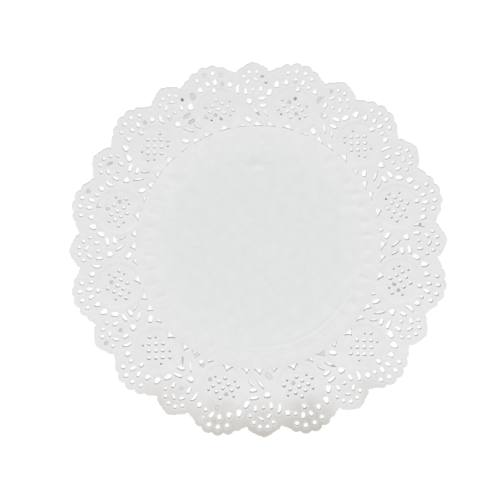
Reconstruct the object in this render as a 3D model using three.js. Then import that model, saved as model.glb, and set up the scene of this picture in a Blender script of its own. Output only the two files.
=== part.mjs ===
import * as THREE from "three";

// Round paper-lace doily, die cut from one flat sheet, in millimetres with +Z up.
// The underside lies in the plane Z = 0 and the origin is the middle of the underside.
// The lace is one repeat of 30 degrees, turned twelve times about Z. Each repeat has a large lobe on its
// own axis and half of a small lobe at each side, so small lobes point along the X and Y axes.

// Driving sizes
const REPEATS = 12;
const REPEAT_DEG = 360 / REPEATS;
const FIRST_LARGE_LOBE_DEG = REPEAT_DEG / 2;
const SHEET_THICKNESS = 1;
const NOTCH_RADIUS = 125;
const EDGE_STEPS_PER_REPEAT = 30;
const ROUND_EYELET_SIDES = 6;
const CUT_SIDES = 8;
const CORNER_SQUARENESS = 0.75;

// The edge: small scallops that together make the lobes, in order round one repeat.
// at: degrees from the large lobe's axis, crest: radius of the scallop's top, bend: radius of its arc.
const SCALLOPS = [
  { at: -13.7, crest: 130.7, bend: 3.8 },
  { at: -12.2, crest: 128.6, bend: 3.6 },
  { at: -10.9, crest: 127.4, bend: 2.6 },
  { at: -7.6, crest: 126.5, bend: 3.4 },
  { at: -6.6, crest: 127.9, bend: 2.2 },
  { at: -4.9, crest: 130.8, bend: 3.8 },
  { at: -2.1, crest: 133.4, bend: 4.6 },
  { at: 0.9, crest: 133.7, bend: 4.4 },
  { at: 4.0, crest: 131.7, bend: 4.0 },
  { at: 6.5, crest: 128.5, bend: 4.0 },
  { at: 8.2, crest: 126.2, bend: 3.0 },
  { at: 11.0, crest: 127.7, bend: 2.3 },
  { at: 12.3, crest: 129.2, bend: 3.4 },
  { at: 13.7, crest: 130.7, bend: 3.4 },
  { at: 15.1, crest: 131.8, bend: 3.8 },
];

// Round eyelets under the edge scallops of both lobes.
// at: degrees from the large lobe's axis, radius: distance from the middle, across and tall: the size round
// the doily and along the radius.
const ROUND_EYELETS = [
  { at: -4.5, radius: 125.2, across: 3.0, tall: 3.2 },
  { at: -2.0, radius: 127.8, across: 3.1, tall: 3.4 },
  { at: 0.8, radius: 127.8, across: 3.0, tall: 3.4 },
  { at: 3.5, radius: 125.8, across: 2.8, tall: 3.2 },
  { at: 11.9, radius: 121.9, across: 2.7, tall: 2.9 },
  { at: 13.8, radius: 124.8, across: 2.6, tall: 3.0 },
  { at: 16.2, radius: 124.8, across: 2.7, tall: 3.0 },
  { at: 18.1, radius: 122.0, across: 2.6, tall: 2.9 },
];

// Larger cuts with soft corners. top: the outer side's width as a share of the inner side's, shift: how far
// the outer side stands aside, in half widths, lean: degrees that the outer end turns anticlockwise.
const CUTS = [
  { name: "lobe drop, left", at: -2.0, radius: 121.0, across: 2.8, tall: 4.7, top: 1, shift: 0, lean: -15 },
  { name: "lobe drop, right", at: 0.6, radius: 121.2, across: 2.6, tall: 4.2, top: 1, shift: 0, lean: 15 },
  { name: "lobe side, left", at: -6.8, radius: 117.3, across: 3.8, tall: 4.0, top: 0.75, shift: 0, lean: 0 },
  { name: "lobe trapezium", at: 3.6, radius: 118.8, across: 4.0, tall: 4.0, top: 0.5, shift: 0, lean: 0 },
  { name: "lobe side, right", at: 6.8, radius: 116.3, across: 4.3, tall: 5.0, top: 0.85, shift: 0, lean: 0 },
  { name: "valley crescent", at: -9.5, radius: 113.3, across: 2.7, tall: 7.0, top: 0.8, shift: 0, lean: -10 },
  { name: "valley pentagon", at: 9.1, radius: 110.0, across: 4.0, tall: 5.3, top: 0.9, shift: 0, lean: -20 },
  { name: "petal, outer", at: 16.9, radius: 117.8, across: 2.3, tall: 4.4, top: 1, shift: 0, lean: -46 },
  { name: "petal, right", at: 12.3, radius: 112.5, across: 2.3, tall: 4.6, top: 1, shift: 0, lean: 0 },
  { name: "petal, left", at: 17.9, radius: 110.9, across: 2.5, tall: 5.0, top: 1, shift: 0, lean: 0 },
  { name: "half moon", at: 16.7, radius: 103.2, across: 2.7, tall: 4.1, top: 1.6, shift: 0, lean: 0 },
  { name: "outer bar", at: 11.8, radius: 105.2, across: 6.0, tall: 2.6, top: 1, shift: 0, lean: 10 },
  { name: "inner bar", at: 11.2, radius: 100.2, across: 4.7, tall: 2.8, top: 1, shift: 0, lean: 10 },
  { name: "slanted lozenge", at: -12.2, radius: 90.3, across: 3.2, tall: 4.9, top: 1, shift: 0, lean: 48 },
  { name: "wide triangle", at: -0.8, radius: 87.5, across: 6.8, tall: 3.5, top: 0.15, shift: 0, lean: 0 },
  { name: "right triangle", at: 7.3, radius: 87.1, across: 6.2, tall: 3.1, top: 0.15, shift: 0.6, lean: 0 },
  { name: "long triangle", at: 13.2, radius: 87.0, across: 6.2, tall: 3.5, top: 0.2, shift: 0.55, lean: 0 },
];

const PAPER_COLOUR = 0xe2e5e2;
const PAPER_ROUGHNESS = 0.9;

function polar(radius, degrees) {
  const angle = THREE.MathUtils.degToRad(degrees);
  return new THREE.Vector2(radius * Math.cos(angle), radius * Math.sin(angle));
}

// Distance from the middle to the far side of one scallop's arc, or 0 where the arc isn't met.
function scallopReach(scallop, degreesFromAxis) {
  const turn = THREE.MathUtils.degToRad(degreesFromAxis - scallop.at);
  const arcCentre = scallop.crest - scallop.bend;
  const aside = arcCentre * Math.sin(turn);
  if (Math.abs(aside) >= scallop.bend) {
    return 0;
  }
  return arcCentre * Math.cos(turn) + Math.sqrt(scallop.bend ** 2 - aside ** 2);
}

// The edge is the outermost of all scallops, those of both neighbouring repeats too, and of the notch circle.
function edgeRadius(degreesFromAxis) {
  const turns = [-REPEAT_DEG, 0, REPEAT_DEG];
  const reaches = turns.flatMap((turn) => SCALLOPS.map((each) => scallopReach(each, degreesFromAxis + turn)));
  return Math.max(NOTCH_RADIUS, ...reaches);
}

function signedPower(value, power) {
  return Math.sign(value) * Math.abs(value) ** power;
}

// One cut's outline as a polygon of the same area as the rounded form that it stands for.
function cutPoints({ at, radius, across, tall, top = 1, shift = 0, lean = 0 }, sides, squareness, repeatDeg) {
  const out = polar(1, repeatDeg + at);
  const round = new THREE.Vector2(-out.y, out.x);
  const turn = THREE.MathUtils.degToRad(lean);
  const step = (2 * Math.PI) / sides;
  const fullness = Math.sqrt(step / Math.sin(step));
  return Array.from({ length: sides }, (_, index) => {
    const angle = (index + 0.5) * step;
    const u = signedPower(Math.cos(angle), squareness) * fullness;
    const v = signedPower(Math.sin(angle), squareness) * fullness;
    const height = (v + 1) / 2;
    const x = (across / 2) * (u * (1 + (top - 1) * height) + shift * height);
    const y = (tall / 2) * v;
    const roundwise = x * Math.cos(turn) + y * Math.sin(turn);
    const outwards = radius + y * Math.cos(turn) - x * Math.sin(turn);
    return out.clone().multiplyScalar(outwards).addScaledVector(round, roundwise);
  });
}

function laceShape() {
  const edge = [];
  const cuts = [];
  for (let repeat = 0; repeat < REPEATS; repeat += 1) {
    const axis = FIRST_LARGE_LOBE_DEG + repeat * REPEAT_DEG;
    for (let step = 0; step < EDGE_STEPS_PER_REPEAT; step += 1) {
      const fromAxis = REPEAT_DEG * (step / EDGE_STEPS_PER_REPEAT - 0.5);
      edge.push(polar(edgeRadius(fromAxis), axis + fromAxis));
    }
    for (const eyelet of ROUND_EYELETS) {
      cuts.push(new THREE.Path(cutPoints(eyelet, ROUND_EYELET_SIDES, 1, axis)));
    }
    for (const cut of CUTS) {
      cuts.push(new THREE.Path(cutPoints(cut, CUT_SIDES, CORNER_SQUARENESS, axis)));
    }
  }
  const shape = new THREE.Shape(edge);
  shape.holes = cuts;
  return shape;
}

function buildDoily() {
  const sheet = new THREE.ExtrudeGeometry(laceShape(), { depth: SHEET_THICKNESS, bevelEnabled: false });
  const paper = new THREE.MeshStandardMaterial({ color: PAPER_COLOUR, roughness: PAPER_ROUGHNESS, metalness: 0 });
  const doily = new THREE.Mesh(sheet, paper);
  doily.name = "doily";
  return doily;
}

const part = new THREE.Group();
part.add(buildDoily());

export default part;
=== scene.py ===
"""A round paper-lace doily lying on a pale table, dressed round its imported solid.

Lengths in the charts are millimetres, and angles are degrees. The lace is one repeat of 30 degrees, turned
twelve times about Z. Each repeat has a large lobe on its own axis and half of a small lobe at each side.
"""

import logging
import math
from collections import defaultdict
from dataclasses import dataclass, field
from enum import Enum
from typing import ClassVar, Iterable

import bpy
import numpy as np
from mathutils import Matrix, Vector
from mathutils.geometry import delaunay_2d_cdt


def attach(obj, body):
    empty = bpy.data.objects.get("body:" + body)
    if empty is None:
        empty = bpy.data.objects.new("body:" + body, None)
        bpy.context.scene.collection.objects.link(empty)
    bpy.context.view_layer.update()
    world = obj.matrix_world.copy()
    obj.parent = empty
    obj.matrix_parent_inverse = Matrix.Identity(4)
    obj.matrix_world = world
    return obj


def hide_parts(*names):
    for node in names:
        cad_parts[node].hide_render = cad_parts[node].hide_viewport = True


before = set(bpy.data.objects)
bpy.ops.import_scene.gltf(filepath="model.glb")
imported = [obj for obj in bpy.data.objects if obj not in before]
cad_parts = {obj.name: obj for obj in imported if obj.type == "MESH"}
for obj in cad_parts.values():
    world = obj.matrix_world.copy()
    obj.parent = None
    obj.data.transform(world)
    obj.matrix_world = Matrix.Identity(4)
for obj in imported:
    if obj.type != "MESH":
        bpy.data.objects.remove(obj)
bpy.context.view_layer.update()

MM = 0.001
REPEATS = 12
REPEAT_DEG = 360 / REPEATS
FIRST_LARGE_LOBE_DEG = REPEAT_DEG / 2

# How the lace is cut into triangles: all the way to its hull, with points this near each other made one
WHOLE_HULL = 0
SAME_POINT = 1e-6

WHITE = (1, 1, 1, 1)
Piece = bpy.types.Object
Socket = bpy.types.NodeSocket
Tree = bpy.types.NodeTree
Rows = tuple[tuple[float, ...], ...]

log = logging.getLogger("doily")


class CutForm(Enum):
    """The kinds of punch: powers that bend an ellipse at its sides and ends, or the two slopes of a tent."""

    ROUND = (1.0, 1.0)
    SOFT = (0.75, 0.75)
    LEAF = (1.5, 1.0)
    LOZENGE = (1.4, 1.4)
    TENT = (1.7, 1.7)


@dataclass(frozen=True)
class Scallop:
    """One small arc of the edge: its axis from the large lobe's axis, its top's radius and its bend."""

    at: float
    crest: float
    bend: float

    def reach(self, from_axis: np.ndarray) -> np.ndarray:
        """Find how far out this arc comes.

        Args:
            from_axis: angles from the large lobe's axis.

        Returns:
            The radius at each angle, or 0 where the arc isn't met.
        """
        turn = np.radians(from_axis - self.at)
        arc_centre = self.crest - self.bend
        aside = arc_centre * np.sin(turn)
        half_chord = np.sqrt(np.clip(self.bend**2 - aside**2, 0, None))
        return np.where(np.abs(aside) < self.bend, arc_centre * np.cos(turn) + half_chord, 0.0)


@dataclass(frozen=True)
class Cut:
    """One cut of the repeat.

    top is the outer side's width as a share of the inner side's, shift is how far the outer side stands
    aside in half widths, lean is how far the outer end turns anticlockwise, and bow bends both ends aside.
    A tent has a flat inner side, two thin tails and its peak, moved aside by shift, on the outer side.
    """

    name: str
    at: float
    radius: float
    across: float
    tall: float
    top: float = 1.0
    shift: float = 0.0
    lean: float = 0.0
    bow: float = 0.0
    form: CutForm = CutForm.SOFT
    rim_step: ClassVar[float] = 0.62
    fewest_steps: ClassVar[int] = 12
    most_steps: ClassVar[int] = 20
    tent_floor_steps: ClassVar[int] = 7
    tent_slope_steps: ClassVar[int] = 6

    def outline(self, grow: float = 0.0) -> np.ndarray:
        """Draw the cut in the repeat's own plane, where the large lobe's axis is the X axis.

        Args:
            grow: how far outside the cut the line runs.

        Returns:
            The outline's points, anticlockwise.
        """
        if self.form is CutForm.TENT:
            u, v = self.tent_points()
            x = (self.across / 2 + grow) * u
        else:
            count = round(math.pi * (self.across + self.tall) / 2 / self.rim_step)
            count = min(max(count, self.fewest_steps), self.most_steps)
            angle = (np.arange(count) + 0.5) * 2 * math.pi / count
            side_power, end_power = self.form.value
            u = np.sign(np.cos(angle)) * np.abs(np.cos(angle)) ** side_power
            v = np.sign(np.sin(angle)) * np.abs(np.sin(angle)) ** end_power
            height = (v + 1) / 2
            x = (self.across / 2 + grow) * u * (1 + (self.top - 1) * height)
            x = x + self.across / 2 * self.shift * height + self.bow * v**2
        y = (self.tall / 2 + grow) * v
        turn = math.radians(self.lean)
        roundwise = x * math.cos(turn) + y * math.sin(turn)
        outwards = self.radius + y * math.cos(turn) - x * math.sin(turn)
        axis = math.radians(self.at)
        out = np.array([math.cos(axis), math.sin(axis)])
        along = np.array([-math.sin(axis), math.cos(axis)])
        return outwards[:, None] * out + roundwise[:, None] * along

    def tent_points(self) -> tuple[np.ndarray, np.ndarray]:
        """Draw a tent in a square of -1 to 1, anticlockwise from its clockwise tail.

        Returns:
            Where its points lie across the square, and where they lie up the square.
        """
        floor = np.linspace(-1, 1, self.tent_floor_steps + 1)
        to_peak = np.linspace(1, self.shift, self.tent_slope_steps + 1)[1:]
        from_peak = np.linspace(self.shift, -1, self.tent_slope_steps + 1)[1:-1]
        first_power, second_power = self.form.value
        climb = 2 * ((1 - to_peak) / (1 - self.shift)) ** first_power - 1
        descent = 2 * ((from_peak + 1) / (1 + self.shift)) ** second_power - 1
        return np.concatenate([floor, to_peak, from_peak]), np.concatenate([0 * floor - 1, climb, descent])


SCALLOPS = [
    Scallop(-13.7, 130.7, 3.8),
    Scallop(-12.2, 128.6, 3.6),
    Scallop(-10.9, 127.4, 2.6),
    Scallop(-7.6, 126.5, 3.4),
    Scallop(-6.6, 127.9, 2.2),
    Scallop(-4.9, 130.8, 3.8),
    Scallop(-2.1, 133.4, 4.6),
    Scallop(0.9, 133.7, 4.4),
    Scallop(4.0, 131.7, 4.0),
    Scallop(6.5, 128.5, 4.0),
    Scallop(8.2, 126.2, 3.0),
    Scallop(11.0, 127.7, 2.3),
    Scallop(12.3, 129.2, 3.4),
    Scallop(13.7, 130.7, 3.4),
    Scallop(15.1, 131.8, 3.8),
]

LARGE_CUTS = [
    Cut("lobe eyelet 1", -4.5, 125.2, 3.0, 3.2, form=CutForm.ROUND),
    Cut("lobe eyelet 2", -2.0, 127.8, 3.1, 3.4, form=CutForm.ROUND),
    Cut("lobe eyelet 3", 0.8, 127.8, 3.0, 3.4, form=CutForm.ROUND),
    Cut("lobe eyelet 4", 3.5, 125.8, 2.8, 3.2, form=CutForm.ROUND),
    Cut("small lobe eyelet 1", 11.9, 121.9, 2.7, 2.9, form=CutForm.ROUND),
    Cut("small lobe eyelet 2", 13.8, 124.8, 2.6, 3.0, form=CutForm.ROUND),
    Cut("small lobe eyelet 3", 16.2, 124.8, 2.7, 3.0, form=CutForm.ROUND),
    Cut("small lobe eyelet 4", 18.1, 122.0, 2.6, 2.9, form=CutForm.ROUND),
    Cut("lobe drop, left", -2.0, 121.0, 2.8, 4.7, lean=-15),
    Cut("lobe drop, right", 0.6, 121.2, 2.6, 4.2, lean=15),
    Cut("lobe side, left", -6.8, 117.2, 4.2, 4.0, top=0.6),
    Cut("lobe trapezium", 3.6, 118.8, 4.5, 4.2, top=0.4),
    Cut("lobe side, right", 6.8, 116.5, 4.9, 5.3, top=0.5),
    Cut("valley crescent", -9.15, 113.4, 2.3, 7.2, lean=-14, bow=-1.1),
    Cut("valley pentagon", 9.1, 110.2, 4.0, 5.5, top=0.75, lean=-25),
    Cut("petal, outer", 16.9, 117.8, 2.3, 4.4, lean=-46),
    Cut("petal, right", 12.3, 112.5, 2.3, 4.6),
    Cut("petal, left", 17.9, 110.9, 2.5, 5.0),
    Cut("half moon", 16.7, 103.3, 2.7, 4.2, top=2.1),
    Cut("outer bar", 11.8, 105.4, 6.3, 2.5, lean=10),
    Cut("inner bar", 11.3, 100.2, 5.3, 2.7, lean=9),
    Cut("slanted lozenge", -12.2, 90.4, 3.2, 5.4, lean=48),
    Cut("wide triangle", -0.75, 87.9, 8.6, 4.0, form=CutForm.TENT),
    Cut("right triangle", 7.3, 87.4, 6.8, 3.4, shift=0.45, form=CutForm.TENT),
    Cut("long triangle", 13.0, 87.5, 7.4, 3.9, shift=0.5, form=CutForm.TENT),
]

SMALL_CUTS = [
    Cut("small drop", -4.3, 118.6, 2.4, 3.0),
    Cut("small round", -0.85, 115.1, 2.5, 3.7, top=1.4),
    Cut("small triangle", -9.0, 87.0, 5.4, 2.7, shift=-0.4, form=CutForm.TENT),
    Cut("long leaf", 14.15, 96.0, 1.8, 8.4, lean=38, form=CutForm.LEAF),
    Cut("short leaf", 10.15, 95.1, 1.5, 6.0, lean=34, form=CutForm.LEAF),
    Cut("valley dot", 10.6, 117.5, 2.1, 2.8),
    Cut("petal, slanted", 14.2, 119.4, 1.9, 4.5, lean=57),
    Cut("flower centre", 15.15, 111.8, 2.6, 2.6, form=CutForm.ROUND),
]

# The lozenges in the medallion: angle from the large lobe's axis, radius and size
LATTICE_CELLS = [
    (-0.65, 108.4, 2.9),
    (-2.6, 104.9, 2.9),
    (1.2, 104.9, 2.9),
    (-4.45, 101.7, 2.8),
    (-0.65, 101.4, 3.0),
    (3.0, 101.6, 3.0),
    (-6.35, 98.2, 2.8),
    (-2.6, 97.9, 3.0),
    (1.2, 98.1, 2.9),
    (5.2, 98.5, 2.6),
    (-4.7, 95.2, 1.6),
    (-0.65, 94.4, 2.9),
    (3.5, 95.3, 1.6),
    (-5.65, 105.3, 1.9),
    (4.05, 105.5, 1.9),
]


def select_only(piece: Piece) -> None:
    """Deselect everything, then select one piece.

    Args:
        piece: the piece, which becomes the active one.
    """
    bpy.ops.object.select_all(action="DESELECT")
    piece.select_set(True)
    bpy.context.view_layer.objects.active = piece


def in_use(sockets: Iterable[Socket], name: str) -> Socket:
    """Find the socket of this name that the node's data type uses."""
    return next(socket for socket in sockets if socket.name == name and socket.enabled)


def set_inputs(node: bpy.types.Node, values: dict[str, float | tuple[float, ...]]) -> None:
    """Set a node's inputs by their names."""
    for name, value in values.items():
        node.inputs[name].default_value = value


def add_noise(tree: Tree, place: Socket, scale: float, detail: float, wander: float = 0.0) -> Socket:
    """Add noise to a material.

    Args:
        tree: the material's nodes.
        place: the coordinates that the noise reads.
        scale: about how many of its spots go to a metre.
        detail: how many finer layers it has.
        wander: how much its spots are distorted.

    Returns:
        The noise's value.
    """
    noise = tree.nodes.new("ShaderNodeTexNoise")
    set_inputs(noise, {"Scale": scale, "Detail": detail, "Distortion": wander})
    tree.links.new(place, noise.inputs["Vector"])
    return noise.outputs["Fac"]


def paint(mesh: bpy.types.Mesh, name: str, values: Iterable[float]) -> None:
    """Keep one number for each vertex of the mesh, for the paper's material."""
    mesh.attributes.new(name, "FLOAT", "POINT").data.foreach_set("value", [float(value) for value in values])


def polar(radius: float, degrees: float) -> np.ndarray:
    """Give the point at this radius and angle."""
    return np.array([radius * math.cos(math.radians(degrees)), radius * math.sin(math.radians(degrees))])


def reach_and_angle(points: np.ndarray) -> tuple[np.ndarray, np.ndarray]:
    """Give each point's radius, and its angle in degrees."""
    return np.linalg.norm(points, axis=1), np.degrees(np.arctan2(points[:, 1], points[:, 0]))


def turned(points: np.ndarray, degrees: float) -> np.ndarray:
    """Turn points anticlockwise about the middle of the sheet.

    Args:
        points: the points, one row each.
        degrees: the angle to turn them by.

    Returns:
        The points in their new places.
    """
    angle = math.radians(degrees)
    matrix = np.array([[math.cos(angle), -math.sin(angle)], [math.sin(angle), math.cos(angle)]])
    return points @ matrix.T


def lobe_axis(number: int) -> float:
    """Give the angle of a large lobe's axis, counted anticlockwise from the first one past the X axis."""
    return FIRST_LARGE_LOBE_DEG + number * REPEAT_DEG


def smooth_step(value: np.ndarray, low: float, high: float) -> np.ndarray:
    """Rise softly from 0 at low to 1 at high."""
    share = np.clip((value - low) / (high - low), 0, 1)
    return share * share * (3 - 2 * share)


def bell(value: np.ndarray, width: float) -> np.ndarray:
    """Give a soft ridge, 1 high at 0 and about as wide at half height as 1.7 widths."""
    return np.exp(-((value / width) ** 2))


def distance_to_loops(points: np.ndarray, loops: Iterable[np.ndarray]) -> np.ndarray:
    """Measure how far points lie from closed outlines.

    Args:
        points: the points, one row each.
        loops: each closed outline's points.

    Returns:
        The distance to the nearest outline, below zero inside one.
    """
    nearest = np.full(len(points), np.inf)
    inside = np.zeros(len(points), bool)
    for loop in loops:
        start, end = loop, np.roll(loop, -1, axis=0)
        side = end - start
        offset = points[:, None, :] - start[None]
        share = np.clip((offset * side).sum(-1) / (side * side).sum(-1), 0, 1)
        nearest = np.minimum(nearest, np.linalg.norm(offset - share[..., None] * side, axis=-1).min(axis=1))
        above = (start[None, :, 1] > points[:, None, 1]) != (end[None, :, 1] > points[:, None, 1])
        rise = np.where(side[:, 1] == 0, 1, side[:, 1])
        crossing = start[:, 0] + (points[:, None, 1] - start[:, 1]) * side[:, 0] / rise
        inside |= (above & (points[:, None, 0] < crossing)).sum(axis=1) % 2 == 1
    return np.where(inside, -nearest, nearest)


@dataclass
class Repeat:
    """One repeat of the lace as a flat net of triangles, cut out along a seam that misses every cut.

    seam gives its points as radius and angle, and runs on to the angle seam_end at the edge. ring_steps
    gives the radius from which the plain middle's rings lie a step apart, and that step. The lace's points
    come from a grid of triangles with sides of fine_step. They keep the clearances from the edge, the cuts
    and the border, and crowding is the least distance between two points as a share of fine_step.
    """

    notch_radius: float = 125.0
    edge_steps: int = 92
    bead_steps: int = 120
    seam: Rows = (
        (84.0, 15.9),
        (86.0, 15.8),
        (88.5, 15.35),
        (90.5, 15.3),
        (93.5, 17.0),
        (96.0, 18.6),
        (106.0, 18.9),
        (114.0, 19.0),
        (118.5, 19.2),
        (122.0, 19.6),
    )
    seam_end: float = 20.0
    fine_step: float = 0.98
    least_arc: float = 1.1
    ring_steps: Rows = ((4.0, 3.0), (49.0, 2.0), (65.0, 1.35), (69.2, 0.9), (80.2, 0.8))
    rim_offset: float = 0.5
    bead_offset: float = 1.0
    lace_starts: float = 84.7
    lace_spread: float = 26.0
    grid_rows: tuple[float, float] = (70.0, 134.0)
    grid_side: float = 62.0
    edge_clearance: float = 0.6
    cut_clearance: float = 0.36
    border_clearance: float = 0.45
    crowding: float = 0.6
    cuts: list[Cut] = field(init=False)

    def __post_init__(self) -> None:
        """Gather the chart's cuts and the lattice's cells."""
        cells = [
            Cut(f"cell {n}", at, radius, size, size, form=CutForm.LOZENGE)
            for n, (at, radius, size) in enumerate(LATTICE_CELLS)
        ]
        self.cuts = [*LARGE_CUTS, *SMALL_CUTS, *cells]

    def edge_radius(self, from_axis: np.ndarray) -> np.ndarray:
        """Give the sheet's radius at angles from the large lobe's axis."""
        reaches = [
            scallop.reach(from_axis + turn) for scallop in SCALLOPS for turn in (-REPEAT_DEG, 0, REPEAT_DEG)
        ]
        return np.maximum(self.notch_radius, np.max(reaches, axis=0))

    def seam_points(self) -> np.ndarray:
        """Place the points of the seam on the repeat's anticlockwise side.

        Returns:
            The points, from the middle to the edge.
        """
        points = [polar(radius, self.seam[0][1]) for radius in self.ring_radii()]
        end = (float(self.edge_radius(np.array([self.seam_end]))[0]), self.seam_end)
        stops = [polar(*stop) for stop in [*self.seam, end]]
        for start, stop in zip(stops, stops[1:]):
            steps = max(1, round(float(np.linalg.norm(stop - start)) / self.fine_step))
            points += [start + (stop - start) * n / steps for n in range(1, steps + 1)]
        return np.array(points)

    def ring_radii(self) -> list[float]:
        """Space the plain middle's rings, close together where it is embossed.

        Returns:
            The radius of each ring.
        """
        starts = [start for start, _ in self.ring_steps]
        ends = [*starts[1:], self.seam[0][0]]
        radii = []
        for start, end, (_, step) in zip(starts, ends, self.ring_steps):
            count = round((end - start) / step)
            radii += [start + (end - start) * n / count for n in range(count)]
        return [*radii, ends[-1]]

    def middle_points(self) -> np.ndarray:
        """Place the plain middle's points on its rings, between the two seams.

        Returns:
            The points, without those on the seams.
        """
        points = []
        start = self.seam[0][1] - REPEAT_DEG
        rings = self.ring_radii()
        for number, radius in enumerate(rings):
            step = radius - rings[number - 1] if number else radius
            count = max(1, round(math.radians(REPEAT_DEG) * radius / max(step, self.least_arc)))
            shares = (np.arange(count) + (number % 2) / 2) / count
            points += [polar(radius, start + REPEAT_DEG * share) for share in shares if share > 0]
        return np.array(points)

    def lace_points(self, border: np.ndarray, cut_loops: list[np.ndarray]) -> np.ndarray:
        """Fill the lace with points, those along the rims of its cuts first.

        Args:
            border: the points of the repeat's own border.
            cut_loops: the outline of every cut near the repeat.

        Returns:
            The points inside the lace.
        """
        rims = [cut.outline(self.rim_offset) for cut in self.cuts]
        from_axis = np.linspace(-REPEAT_DEG, REPEAT_DEG, self.bead_steps + 1)
        bead = self.edge_radius(from_axis) - self.bead_offset
        rims.append(np.array([polar(radius, at) for radius, at in zip(bead, from_axis)]))
        columns = np.arange(-self.grid_side, self.grid_side, self.fine_step)
        grid = []
        for row, x in enumerate(np.arange(*self.grid_rows, self.fine_step * math.sqrt(3) / 2)):
            grid += [(x, y + (row % 2) * self.fine_step / 2) for y in columns]
        wanted = np.vstack([*rims, np.array(grid)])
        reach, at = reach_and_angle(wanted)
        in_lace = (reach > self.lace_starts) & (reach < self.edge_radius(at) - self.edge_clearance)
        wanted = wanted[in_lace & (np.abs(at) < self.lace_spread)]
        off_cuts = distance_to_loops(wanted, cut_loops) > self.cut_clearance
        return wanted[off_cuts & (distance_to_loops(wanted, [border]) < -self.border_clearance)]

    def flat_net(self) -> tuple[np.ndarray, np.ndarray, list[np.ndarray]]:
        """Cut the repeat into triangles.

        Returns:
            Its points, its triangles and the outlines of all cuts in it or next to it.
        """
        seam = self.seam_points()
        other_seam = turned(seam, -REPEAT_DEG)
        angles = self.seam_end - REPEAT_DEG * np.arange(1, self.edge_steps) / self.edge_steps
        edge = np.array([polar(radius, at) for radius, at in zip(self.edge_radius(angles), angles)])
        border = np.vstack([[[0.0, 0.0]], other_seam, edge[::-1], seam[::-1]])
        loops = [cut.outline() for cut in self.cuts]
        nearby = loops + [turned(loop, turn) for loop in loops for turn in (REPEAT_DEG, -REPEAT_DEG)]
        inner = np.vstack([self.middle_points(), self.lace_points(border, nearby)])
        inner = thin_out(inner, np.vstack([border, *loops]), self.crowding * self.fine_step)
        points, edges = [], []
        for loop in [border, *loops]:
            first = len(points)
            points += [Vector(point) for point in loop]
            edges += [(first + n, first + (n + 1) % len(loop)) for n in range(len(loop))]
        points += [Vector(point) for point in inner]
        net_points, _, triangles, *_ = delaunay_2d_cdt(points, edges, [], WHOLE_HULL, SAME_POINT, False)
        net, faces = np.array([tuple(p) for p in net_points]), np.array([tuple(t) for t in triangles])
        middles = net[faces].mean(axis=1)
        paper = (distance_to_loops(middles, [border]) < 0) & (distance_to_loops(middles, loops) > 0)
        return net, faces[paper], nearby


def thin_out(points: np.ndarray, fixed: np.ndarray, apart: float) -> np.ndarray:
    """Drop points that crowd others.

    Args:
        points: the points, the most wanted first.
        fixed: points that are there already.
        apart: the least distance between two points.

    Returns:
        The points that are kept.
    """
    taken = defaultdict(list)
    for point in fixed:
        taken[tuple(point // apart)].append(point)
    kept = []
    for point in points:
        column, row = point // apart
        around = [p for i in (-1, 0, 1) for j in (-1, 0, 1) for p in taken[column + i, row + j]]
        if all(np.hypot(*(point - other)) >= apart for other in around):
            taken[column, row].append(point)
            kept.append(point)
    return np.array(kept)


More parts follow.
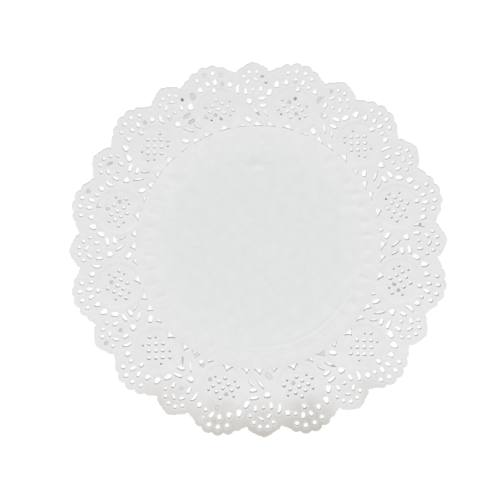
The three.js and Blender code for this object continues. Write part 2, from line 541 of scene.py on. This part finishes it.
@dataclass(frozen=True)
class Embossing:
    """The relief pressed into the paper: rims and a bead in the lace, rings and leaves inside it.

    The wall of the medallion and the start of the flutes round it are distances from the medallion's rim,
    medallion_size from its middle. ring_lines gives the radius, width and height of each ring.
    """

    rim_height: float = 0.31
    bead_height: float = 0.14
    line_width: float = 0.42
    medallion_at: float = -0.65
    medallion_radius: float = 101.0
    medallion_size: float = 15.0
    medallion_wall: tuple[float, float] = (-0.6, 0.8)
    medallion_height: float = 0.26
    flute_height: float = 0.035
    flutes_per_repeat: int = 22
    flutes_start: tuple[float, float] = (1.0, 3.0)
    flutes_reach: tuple[float, float] = (105.0, 107.0)
    ring_lines: Rows = ((70.6, 0.9, 0.31), (74.4, 0.7, 0.12), (77.6, 1.0, 0.12))
    deepest_ring: float = 306.0
    deep_spread: float = 34.0
    least_press: float = 0.25
    leaves_per_repeat: int = 4
    leaf_middle: float = 76.4
    leaf_length: float = 8.4
    leaf_height: float = 0.42
    leaf_end_width: float = 0.6
    leaf_widening: float = 0.8
    leaf_press: float = 0.65
    leaf_press_swing: float = 0.3
    leaf_press_change: float = 0.2
    leaf_change_step: float = 2.4

    def heights(self, points: np.ndarray, from_cut: np.ndarray, repeat: Repeat) -> np.ndarray:
        """Raise the points of one flat repeat.

        Args:
            points: the repeat's points in its own plane.
            from_cut: each point's distance from the nearest cut.
            repeat: the repeat, for its edge.

        Returns:
            Each point's height over the plain sheet.
        """
        reach, at = reach_and_angle(points)
        from_edge = repeat.edge_radius(at) - reach
        centre = polar(self.medallion_radius, self.medallion_at)
        from_medallion = np.linalg.norm(points - centre, axis=1) - self.medallion_size
        height = self.rim_height * bell(from_cut - repeat.rim_offset, self.line_width)
        height += self.bead_height * bell(from_edge - repeat.bead_offset, self.line_width)
        height += self.medallion_height * (1 - smooth_step(from_medallion, *self.medallion_wall))
        fluted = smooth_step(from_medallion, *self.flutes_start) * smooth_step(reach, *self.flutes_reach)
        height += self.flute_height * fluted * np.cos(np.radians(at) * self.flutes_per_repeat * REPEATS)
        return height

    def band_heights(self, points: np.ndarray) -> np.ndarray:
        """Raise the rings and leaves at the rim of the plain middle, which the plate pressed unevenly.

        Args:
            points: points of the whole flat sheet.

        Returns:
            Each point's height over the plain sheet.
        """
        reach, turn = reach_and_angle(points)
        turn = turn % 360
        away = (turn - self.deepest_ring + 180) % 360 - 180
        ring_press = self.least_press + (1 - self.least_press) * bell(away, self.deep_spread)
        height = sum(tall * ring_press * bell(reach - ring, wide) for ring, wide, tall in self.ring_lines)
        leaf_step = REPEAT_DEG / self.leaves_per_repeat
        press = self.leaf_press + self.leaf_press_swing * np.cos(np.radians(2 * turn))
        press += self.leaf_press_change * np.sin(self.leaf_change_step * (turn // leaf_step))
        aside = np.radians((turn % leaf_step) - leaf_step / 2) * reach
        along = np.clip(1 - ((reach - self.leaf_middle) / (self.leaf_length / 2)) ** 2, 0, None)
        leaf_width = self.leaf_end_width + self.leaf_widening * np.sqrt(along)
        return height + self.leaf_height * press * along * bell(aside, leaf_width)


@dataclass(frozen=True)
class Curl:
    """A stretch of the rim that lifts off the table, or comes down to it where its height is below zero."""

    at: float
    spread: float
    starts: float
    height: float


@dataclass(frozen=True)
class Crease:
    """A soft ridge in the plain middle between two places, or a hollow where its height is below zero."""

    start: tuple[float, float]
    end: tuple[float, float]
    width: float
    height: float
    end_share: ClassVar[float] = 0.25

    def heights(self, points: np.ndarray) -> np.ndarray:
        """Shape the crease, highest at the middle of its length and end_share of that at its ends.

        Args:
            points: points of the whole sheet, seen from above.

        Returns:
            How far the crease raises each point.
        """
        start, side = np.array(self.start), np.subtract(self.end, self.start)
        share = np.clip((points - start) @ side / (side @ side), 0, 1)
        away = np.linalg.norm(points - start - share[:, None] * side, axis=1)
        strength = self.end_share + (1 - self.end_share) * 4 * share * (1 - share)
        return self.height * bell(away, self.width) * strength


@dataclass(frozen=True)
class Lie:
    """How the sheet lies: its middle on the table, its lace springing a little off it.

    lace_rise and rim_rise are the radii between which the lace lifts and the rim sinks again, and the waves
    of the loose lace grow over loosening. waves gives the height, number and phase of each wave. A curl has
    its full height at the radius curls_end.
    """

    rest: float = 0.10
    least: float = 0.06
    lace_lift: float = 0.95
    lace_rise: tuple[float, float] = (66.0, 95.0)
    rim_lift: float = -0.15
    rim_rise: tuple[float, float] = (100.0, 132.0)
    loosening: tuple[float, float] = (74.0, 118.0)
    waves: Rows = ((0.14, 3, 0.6), (0.11, 5, 2.1), (0.08, 7, 4.0))
    middle_wave: float = 0.05
    middle_wave_across: float = 21.0
    middle_wave_phase: float = 1.3
    middle_wave_along: float = 27.0
    curls_end: float = 133.0
    most_curl: float = 1.1
    curl_power: float = 1.2
    curls: tuple[Curl, ...] = (
        Curl(at=268, spread=36, starts=112, height=-0.85),
        Curl(at=62, spread=16, starts=108, height=0.3),
        Curl(at=160, spread=20, starts=104, height=0.3),
        Curl(at=350, spread=18, starts=104, height=0.4),
    )
    creases: tuple[Crease, ...] = (
        Crease((-10.0, 57.2), (11.0, 56.4), width=2.1, height=0.6),
        Crease((0.2, 57.4), (1.8, 61.4), width=1.4, height=0.5),
        Crease((0.5, 50.2), (9.5, 50.0), width=2.3, height=0.2),
        Crease((-56.0, 60.8), (-47.0, 50.2), width=1.9, height=-0.3),
        Crease((-63.0, 50.0), (-51.0, 44.5), width=2.6, height=0.35),
        Crease((60.0, 35.4), (76.0, 34.4), width=1.9, height=0.32),
        Crease((56.0, 26.6), (79.0, 26.0), width=2.0, height=0.34),
        Crease((75.0, 22.8), (83.0, 23.0), width=0.9, height=0.16),
        Crease((75.5, 20.6), (83.0, 20.8), width=0.9, height=0.16),
        Crease((76.0, 18.4), (83.0, 18.4), width=0.9, height=0.14),
        Crease((74.8, 13.6), (76.8, 13.6), width=1.3, height=0.24),
        Crease((68.0, 5.2), (79.0, 4.8), width=1.7, height=0.22),
        Crease((47.0, -42.0), (53.5, -47.5), width=1.5, height=0.2),
        Crease((-79.0, 10.6), (-70.0, 11.4), width=1.7, height=0.22),
        Crease((-78.0, 1.0), (-70.5, 1.6), width=1.7, height=0.2),
    )

    def heights(self, points: np.ndarray) -> np.ndarray:
        """Give the height of the sheet's underside over the table.

        Args:
            points: points of the whole sheet, seen from above.

        Returns:
            One height for each point.
        """
        reach, turn = reach_and_angle(points)
        height = self.rest + self.lace_lift * smooth_step(reach, *self.lace_rise)
        height += self.rim_lift * smooth_step(reach, *self.rim_rise)
        loose = smooth_step(reach, *self.loosening)
        waves = (tall * np.sin(number * np.radians(turn) + phase) for tall, number, phase in self.waves)
        height += loose * sum(waves)
        swell = np.sin(points[:, 0] / self.middle_wave_across + self.middle_wave_phase)
        swell *= np.sin(points[:, 1] / self.middle_wave_along)
        height += self.middle_wave * (1 - loose) * (1 + swell)
        for curl in self.curls:
            away = (turn - curl.at + 180) % 360 - 180
            rise = np.clip((reach - curl.starts) / (self.curls_end - curl.starts), 0, self.most_curl)
            height += curl.height * bell(away, curl.spread) * rise**self.curl_power
        for crease in self.creases:
            height += crease.heights(points)
        return np.maximum(height, self.least)


@dataclass(frozen=True)
class PaintedShadeAndTint:
    """Painted warm shade on the rim of the front lobes, and a cool tint in the plain middle.

    spots gives the angle, spread and strength of each dark place. The painted shade is weaker on the raised
    rims of the cuts and darker in the hollows between them, and rims_end says how far from a cut it changes.
    """

    dark_ring: tuple[float, float] = (101.0, 128.0)
    coolest: float = 0.85
    cool_ring: tuple[float, float] = (38.0, 92.0)
    at_rims: float = 0.6
    in_hollows: float = 1.25
    rims_end: tuple[float, float] = (0.4, 2.0)
    spots: Rows = (
        (306.0, 9.0, 0.27),
        (284.0, 7.5, 1.0),
        (269.5, 7.0, 0.75),
        (256.0, 7.5, 0.67),
        (239.0, 11.0, 0.38),
    )

    def painted_shades(self, points: np.ndarray, from_cut: np.ndarray) -> np.ndarray:
        """Give the painted shade of the flat sheet's points, less on the raised rims of its cuts.

        Args:
            points: points of the whole flat sheet.
            from_cut: each point's distance from the nearest cut.

        Returns:
            The painted shade of each point, from 0 for unshaded paper to 1.
        """
        reach, turn = reach_and_angle(points)
        round_the_rim = sum(strength * bell(turn % 360 - at, spread) for at, spread, strength in self.spots)
        in_relief = self.at_rims + (self.in_hollows - self.at_rims) * smooth_step(from_cut, *self.rims_end)
        return np.clip(round_the_rim * smooth_step(reach, *self.dark_ring) * in_relief, 0, 1)

    def coolness(self, points: np.ndarray) -> np.ndarray:
        """Give how cool the flat sheet's points are, most in the middle and nothing in the lace."""
        return self.coolest * (1 - smooth_step(np.linalg.norm(points, axis=1), *self.cool_ring))


@dataclass(frozen=True)
class PaperFinish:
    """Thin uncoated tissue paper: faint clouds and fine fibres.

    Its colour is multiplied by a cool tint, by painted shade on the rim of the front lobes and by painted
    shade on the leftover bits, each as far as the mesh's attribute of that name says.
    """

    light: tuple[float, float, float] = (0.722, 0.716, 0.720)
    dark: tuple[float, float, float] = (0.690, 0.686, 0.690)
    cool: tuple[float, float, float] = (0.926, 0.971, 0.952)
    # painted shade: the warm darkening of the front lobes' rim
    painted_lobe_shade: tuple[float, float, float] = (0.71, 0.685, 0.63)
    # painted shade: the darkening of the leftover bits in their cuts
    shaded: tuple[float, float, float] = (0.23, 0.22, 0.21)
    roughness: float = 0.88
    roughness_change: float = 0.06
    gloss: float = 0.3
    cloud_scale: float = 140.0
    cloud_detail: float = 5.0
    fibre_scale: float = 900.0
    fibre_detail: float = 4.0
    fibre_wander: float = 0.8
    fibre_turn: float = 0.5
    fibre_stretch: tuple[float, float, float] = (0.25, 1.6, 1.0)
    fibre_share: float = 0.4
    dark_until: float = 0.36
    light_from: float = 0.62
    bump_depth: float = 0.03
    bump_strength: float = 0.5

    def material(self) -> bpy.types.Material:
        """Make the paper's material from noise on the sheet's own coordinates.

        Returns:
            The material.
        """
        paper = bpy.data.materials.new("doily_paper")
        paper.use_nodes = True
        tree, nodes, links = paper.node_tree, paper.node_tree.nodes, paper.node_tree.links
        shader = nodes["Principled BSDF"]
        place = nodes.new("ShaderNodeTexCoord").outputs["Object"]
        clouds = add_noise(tree, place, self.cloud_scale, self.cloud_detail)
        stretch = nodes.new("ShaderNodeMapping")
        set_inputs(stretch, {"Rotation": (0, 0, self.fibre_turn), "Scale": self.fibre_stretch})
        links.new(place, stretch.inputs["Vector"])
        stretched = stretch.outputs["Vector"]
        fibres = add_noise(tree, stretched, self.fibre_scale, self.fibre_detail, self.fibre_wander)
        colour = self.tinted_and_shaded(tree, self.speckled(tree, clouds, fibres))
        links.new(colour, shader.inputs["Base Color"])
        rough = nodes.new("ShaderNodeMapRange")
        smoothest, roughest = self.roughness - self.roughness_change, self.roughness + self.roughness_change
        set_inputs(rough, {"To Min": smoothest, "To Max": roughest})
        links.new(fibres, rough.inputs["Value"])
        links.new(rough.outputs["Result"], shader.inputs["Roughness"])
        bump = nodes.new("ShaderNodeBump")
        set_inputs(bump, {"Strength": self.bump_strength, "Distance": self.bump_depth * MM})
        links.new(fibres, bump.inputs["Height"])
        links.new(bump.outputs["Normal"], shader.inputs["Normal"])
        set_inputs(shader, {"Specular IOR Level": self.gloss})
        return paper

    def speckled(self, tree: Tree, clouds: Socket, fibres: Socket) -> Socket:
        """Colour clean paper by its clouds and fibres.

        Args:
            tree: the material's nodes.
            clouds: the value of the clouds' noise.
            fibres: the value of the fibres' noise.

        Returns:
            The colour.
        """
        blend = tree.nodes.new("ShaderNodeMix")
        in_use(blend.inputs, "Factor").default_value = self.fibre_share
        tree.links.new(clouds, in_use(blend.inputs, "A"))
        tree.links.new(fibres, in_use(blend.inputs, "B"))
        ramp = tree.nodes.new("ShaderNodeValToRGB")
        low, high = ramp.color_ramp.elements
        low.position, low.color = self.dark_until, (*self.dark, 1)
        high.position, high.color = self.light_from, (*self.light, 1)
        tree.links.new(in_use(blend.outputs, "Result"), ramp.inputs["Fac"])
        return ramp.outputs["Color"]

    def tinted_and_shaded(self, tree: Tree, colour: Socket) -> Socket:
        """Multiply the colour by the cool tint and by each painted shade, as far as the mesh's attribute of
        its name says.

        Args:
            tree: the material's nodes.
            colour: the clean paper's colour.

        Returns:
            The colour with its tint and painted shade.
        """
        for name, shade in (("cool", self.cool), ("painted_lobe_shade", self.painted_lobe_shade), ("shaded", self.shaded)):
            amount = tree.nodes.new("ShaderNodeAttribute")
            amount.attribute_name = name
            over = tree.nodes.new("ShaderNodeMix")
            over.data_type = "RGBA"
            over.blend_type = "MULTIPLY"
            in_use(over.inputs, "B").default_value = (*shade, 1)
            tree.links.new(amount.outputs["Fac"], in_use(over.inputs, "Factor"))
            tree.links.new(colour, in_use(over.inputs, "A"))
            colour = in_use(over.outputs, "Result")
        return colour


@dataclass(frozen=True)
class Punching:
    """One punched-out bit that still hangs in its cut.

    hang is how far its far side hangs, from 0, level, to 1, down to the table. shade darkens it with painted
    shade, and the bit fills the stretch of the cut's length between starts and ends, as shares of it from
    its near end.
    """

    repeat: int
    cut: str
    hang: float
    shade: float
    starts: float = 0.0
    ends: float = 1.0


PUNCHINGS = [
    Punching(0, "valley crescent", 0.6, 0.4, starts=0.28, ends=0.56),
    Punching(0, "cell 12", 0.9, 0.6),
    Punching(1, "small lobe eyelet 4", 0.4, 0.16),
    Punching(1, "half moon", 0.5, 0.05, ends=0.5),
    Punching(2, "small lobe eyelet 1", 0.8, 0.4, ends=0.7),
    Punching(2, "valley dot", 0.9, 0.4, ends=0.6),
    Punching(2, "valley crescent", 0.7, 0.09, ends=0.8),
    Punching(2, "lobe drop, right", 0.5, 0.05, ends=0.5),
    Punching(2, "cell 0", 0.9, 0.55, ends=0.8),
    Punching(2, "cell 2", 0.7, 0.04, ends=0.8),
    Punching(2, "cell 7", 0.7, 0.06, ends=0.8),
    Punching(2, "cell 10", 0.7, 0.35, ends=0.8),
    Punching(2, "cell 12", 0.9, 0.7, ends=0.9),
    Punching(2, "long leaf", 0.6, 0.35, ends=0.4),
    Punching(3, "lobe eyelet 1", 0.1, 0.02),
    Punching(3, "lobe eyelet 3", 0.3, 0.05),
    Punching(3, "small drop", 0.4, 0.14),
    Punching(3, "lobe side, right", 0.5, 0.16),
    Punching(3, "valley dot", 0.9, 0.8),
    Punching(3, "petal, left", 0.3, 0.03, ends=0.5),
    Punching(3, "outer bar", 0.5, 0.13),
    Punching(3, "inner bar", 0.6, 0.18),
    Punching(3, "cell 8", 0.7, 0.12),
    Punching(3, "cell 9", 0.5, 0.04, ends=0.6),
    Punching(3, "cell 11", 0.9, 0.42, ends=0.6),
    Punching(3, "cell 12", 0.9, 0.7, ends=0.9),
    Punching(4, "petal, slanted", 0.5, 0.18),
    Punching(4, "small drop", 0.4, 0.12),
    Punching(5, "lobe eyelet 1", 0.5, 0.16),
    Punching(5, "cell 0", 0.6, 0.05, ends=0.7),
    Punching(5, "cell 3", 0.5, 0.12),
    Punching(5, "small round", 0.5, 0.04, ends=0.5),
    Punching(6, "small lobe eyelet 3", 0.6, 0.18),
    Punching(6, "flower centre", 0.6, 0.18),
    Punching(6, "cell 1", 0.5, 0.1, ends=0.8),
    Punching(7, "flower centre", 0.5, 0.06),
    Punching(7, "long triangle", 0.4, 0.08, ends=0.4),
    Punching(7, "short leaf", 0.7, 0.27),
    Punching(8, "small round", 0.5, 0.1),
    Punching(8, "lobe eyelet 1", 0.4, 0.06, ends=0.6),
    Punching(8, "cell 2", 0.6, 0.16, ends=0.8),
    Punching(8, "cell 6", 0.5, 0.1, ends=0.8),
    Punching(8, "slanted lozenge", 0.5, 0.12, ends=0.4),
    Punching(9, "slanted lozenge", 0.45, 0.03),
    Punching(9, "long triangle", 0.7, 0.12),
    Punching(9, "right triangle", 0.6, 0.08, ends=0.6),
    Punching(9, "long leaf", 0.8, 0.4, ends=0.3),
    Punching(9, "cell 7", 0.5, 0.1, ends=0.8),
    Punching(11, "cell 3", 0.7, 0.25, ends=0.7),
    Punching(11, "cell 7", 0.7, 0.25, ends=0.7),
]


@dataclass
class LeftoverPunchings:
    """The punched-out bits that were not pushed clear, as thin closed scales of paper darkened by painted
    shade.

    thickness is the sheet's, and a bit has share_of_thickness of it. A bit keeps gap from the cut's rim and
    clearance from the table. Its top lies below_top under the sheet's, and lower as far as it hangs, the
    near side by near_hang of what the far side does.
    """

    repeat: Repeat
    lie: Lie
    thickness: float
    share_of_thickness: float = 0.7
    gap: float = 0.1
    clearance: float = 0.04
    below_top: float = 0.03
    near_hang: float = 0.25

    def scale(self, punching: Punching) -> tuple[np.ndarray, list[tuple[int, ...]]]:
        """Shape one bit.

        Args:
            punching: the bit's cut, and how it hangs.

        Returns:
            The points of the bit in the frame, in millimetres, and its faces.
        """
        cut = next(cut for cut in self.repeat.cuts if cut.name == punching.cut)
        rim = turned(cut.outline(-self.gap), lobe_axis(punching.repeat))
        middle = rim.mean(axis=0)
        reach = np.linalg.norm(rim - middle, axis=1)
        lengthwise = (rim[reach.argmax()] - middle) / reach.max()
        lengthwise *= math.copysign(1, lengthwise[1])
        along = (rim - middle) @ lengthwise
        first, last = (along.min() + share * np.ptp(along) for share in (punching.starts, punching.ends))
        rim += (np.clip(along, first, last) - along)[:, None] * lengthwise
        flat = np.vstack([rim, rim.mean(axis=0)])
        sheet_top = self.lie.heights(flat) + self.thickness
        most = sheet_top.min() - self.thickness - self.clearance
        away = (flat[:, 1] - flat[:, 1].min()) / np.ptp(flat[:, 1])
        hang = punching.hang * most * (self.near_hang + (1 - self.near_hang) * away)
        top = sheet_top - self.below_top - hang
        bottom = top - self.share_of_thickness * self.thickness
        count = len(rim)
        points = np.vstack([np.column_stack([flat, top]), np.column_stack([flat, bottom])])
        faces = []
        for n in range(count):
            after = (n + 1) % count
            faces.append((n, after, count))
            faces.append((count + 1 + after, count + 1 + n, 2 * count + 1))
            faces.append((n, count + 1 + n, count + 1 + after, after))
        return points, faces

    def build(self) -> Piece:
        """Build all bits as one piece.

        Returns:
            The finished piece, riding on the part's body.
        """
        points, faces, painted_shades, first = [], [], [], 0
        for punching in PUNCHINGS:
            own_points, own_faces = self.scale(punching)
            points.append(own_points)
            faces += [tuple(first + corner for corner in face) for face in own_faces]
            painted_shades += [punching.shade] * len(own_points)
            first += len(own_points)
        mesh = bpy.data.meshes.new("leftover_punchings")
        mesh.from_pydata((np.vstack(points) * MM).tolist(), [], faces)
        # painted shade: each bit is darkened by its punching's shade
        paint(mesh, "shaded", painted_shades)
        leftovers = bpy.data.objects.new("leftover_punchings", mesh)
        bpy.context.scene.collection.objects.link(leftovers)
        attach(leftovers, "root")
        log.info("leftover punchings: %d bits, %d faces", len(PUNCHINGS), len(mesh.polygons))
        return leftovers


@dataclass
class LaceSheet:
    """The doily itself: one thin sheet of paper, cut and embossed."""

    across: float = 267.4
    thickness: float = 0.22
    weld: float = 0.02
    sharp_angle: float = 40.0
    repeat: Repeat = field(default_factory=Repeat)
    embossing: Embossing = field(default_factory=Embossing)
    lie: Lie = field(default_factory=Lie)
    painted_shade_and_tint: PaintedShadeAndTint = field(default_factory=PaintedShadeAndTint)
    finish: PaperFinish = field(default_factory=PaperFinish)

    def embossed_net(self, points: np.ndarray, triangles: np.ndarray, from_cut: np.ndarray) -> Piece:
        """Turn the repeat twelve times, raise its points and paint their shade and tint.

        Args:
            points: one repeat's flat points.
            triangles: its triangles.
            from_cut: each point's distance from the nearest cut.

        Returns:
            The sheet's top, still open along its seams.
        """
        relief = np.tile(self.embossing.heights(points, from_cut, self.repeat), REPEATS)
        flat = np.vstack([turned(points, lobe_axis(number)) for number in range(REPEATS)])
        faces = np.vstack([triangles + number * len(points) for number in range(REPEATS)])
        height = self.lie.heights(flat) + relief + self.embossing.band_heights(flat) + self.thickness
        mesh = bpy.data.meshes.new("paper_sheet")
        mesh.from_pydata((np.column_stack([flat, height]) * MM).tolist(), [], faces.tolist())
        # painted shade on the front lobes' rim, then a cool tint in the plain middle
        paint(mesh, "painted_lobe_shade", self.painted_shade_and_tint.painted_shades(flat, np.tile(from_cut, REPEATS)))
        paint(mesh, "cool", self.painted_shade_and_tint.coolness(flat))
        sheet = bpy.data.objects.new("paper_sheet", mesh)
        bpy.context.scene.collection.objects.link(sheet)
        return sheet

    def close_and_thicken(self, sheet: Piece) -> None:
        """Join the repeats along their seams and give the paper its thickness.

        Args:
            sheet: the sheet's top.
        """
        select_only(sheet)
        bpy.ops.object.mode_set(mode="EDIT")
        bpy.ops.mesh.select_all(action="SELECT")
        bpy.ops.mesh.remove_doubles(threshold=self.weld * MM)
        bpy.ops.mesh.normals_make_consistent(inside=False)
        bpy.ops.object.mode_set(mode="OBJECT")
        if sum(polygon.normal.z for polygon in sheet.data.polygons) < 0:
            sheet.data.flip_normals()
        paper = sheet.modifiers.new("paper", "SOLIDIFY")
        paper.thickness = self.thickness * MM
        paper.offset = -1.0
        bpy.ops.object.modifier_apply(modifier=paper.name)
        bpy.ops.object.shade_smooth_by_angle(angle=math.radians(self.sharp_angle))

    def build(self) -> list[Piece]:
        """Build the sheet in the frame, and what is left in its cuts.

        Returns:
            The finished pieces, riding on the part's body.
        """
        points, triangles, loops = self.repeat.flat_net()
        sheet = self.embossed_net(points, triangles, distance_to_loops(points, loops))
        self.close_and_thicken(sheet)
        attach(sheet, "root")
        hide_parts("doily")
        leftovers = LeftoverPunchings(self.repeat, self.lie, self.thickness).build()
        return [sheet, leftovers]

    def dress(self, pieces: Iterable[Piece]) -> None:
        """Give the sheet and its leftovers their paper.

        Args:
            pieces: the finished pieces.
        """
        paper = self.finish.material()
        for piece in pieces:
            piece.data.materials.append(paper)


@dataclass
class Studio:
    """The pale table, the soft lights and the camera.

    Sizes and places of the table and the lamp are in metres, and the camera's offsets in millimetres.
    """

    table_size: float = 7.0
    table_shade: float = 0.95
    table_roughness: float = 0.9
    table_gloss: float = 0.1
    table_glow: float = 0.03
    key_power: float = 198.0
    key_place: tuple[float, float, float] = (0.2, -2.6, 4.8)
    key_size: float = 1.6
    sky: float = 0.55
    camera_distance: float = 735.8
    camera_tilt: float = 7.297
    camera_side_tilt: float = 0.095
    camera_roll: float = -1.687
    camera_aside: float = -5.773
    camera_below: float = -2.897
    lens: float = 75.92
    sensor_width: float = 36.0
    nearest_seen: float = 0.05
    farthest_seen: float = 20.0

    def lay_table(self) -> None:
        """Lay the plain white table."""
        bpy.ops.mesh.primitive_plane_add(size=self.table_size, location=(0, 0, 0))
        table = bpy.context.object
        table.name = "table"
        white = bpy.data.materials.new("table_white")
        white.use_nodes = True
        shader = white.node_tree.nodes["Principled BSDF"]
        set_inputs(shader, {"Base Color": (*[self.table_shade] * 3, 1), "Roughness": self.table_roughness})
        set_inputs(shader, {"Specular IOR Level": self.table_gloss})
        set_inputs(shader, {"Emission Color": WHITE, "Emission Strength": self.table_glow})
        table.data.materials.append(white)

    def set_lights(self) -> None:
        """Set one broad lamp in front and a soft even surround, which looks white behind the table."""
        world = bpy.data.worlds.new("surround")
        world.use_nodes = True
        nodes, links = world.node_tree.nodes, world.node_tree.links
        soft_light = nodes["Background"]
        set_inputs(soft_light, {"Color": WHITE, "Strength": self.sky})
        backdrop = nodes.new("ShaderNodeBackground")
        set_inputs(backdrop, {"Color": WHITE})
        sight = nodes.new("ShaderNodeLightPath")
        either = nodes.new("ShaderNodeMixShader")
        links.new(sight.outputs["Is Camera Ray"], either.inputs[0])
        links.new(soft_light.outputs[0], either.inputs[1])
        links.new(backdrop.outputs[0], either.inputs[2])
        links.new(either.outputs[0], nodes["World Output"].inputs["Surface"])
        bpy.context.scene.world = world
        bpy.ops.object.light_add(type="AREA", location=self.key_place)
        key = bpy.context.object
        key.name = "key_light"
        key.data.shape = "DISK"
        key.data.size = self.key_size
        key.data.energy = self.key_power
        key.rotation_euler = (-key.location).to_track_quat("-Z", "Y").to_euler()
        bpy.context.scene.view_settings.view_transform = "Standard"

    def set_camera(self) -> None:
        """Stand the camera where the photograph was taken from, almost over the doily."""
        turn = (
            Matrix.Rotation(math.radians(self.camera_roll), 4, "Z")
            @ Matrix.Rotation(math.radians(self.camera_tilt), 4, "X")
            @ Matrix.Rotation(math.radians(self.camera_side_tilt), 4, "Y")
        )
        offset = Vector((self.camera_aside, self.camera_below, self.camera_distance)) * MM
        bpy.ops.object.camera_add(location=turn @ offset, rotation=turn.to_euler())
        camera = bpy.context.object
        camera.data.sensor_width = self.sensor_width
        camera.data.lens = self.lens
        camera.data.clip_start = self.nearest_seen
        camera.data.clip_end = self.farthest_seen
        bpy.context.scene.camera = camera


def main() -> None:
    """Build the studio and the doily in order."""
    logging.basicConfig(level=logging.INFO, format="%(name)s: %(message)s")
    bpy.ops.object.select_all(action="DESELECT")
    studio = Studio()
    studio.set_camera()
    studio.lay_table()
    studio.set_lights()
    log.info("studio set")
    lace = LaceSheet()
    lace.dress(lace.build())


if __name__ == "__main__":
    main()
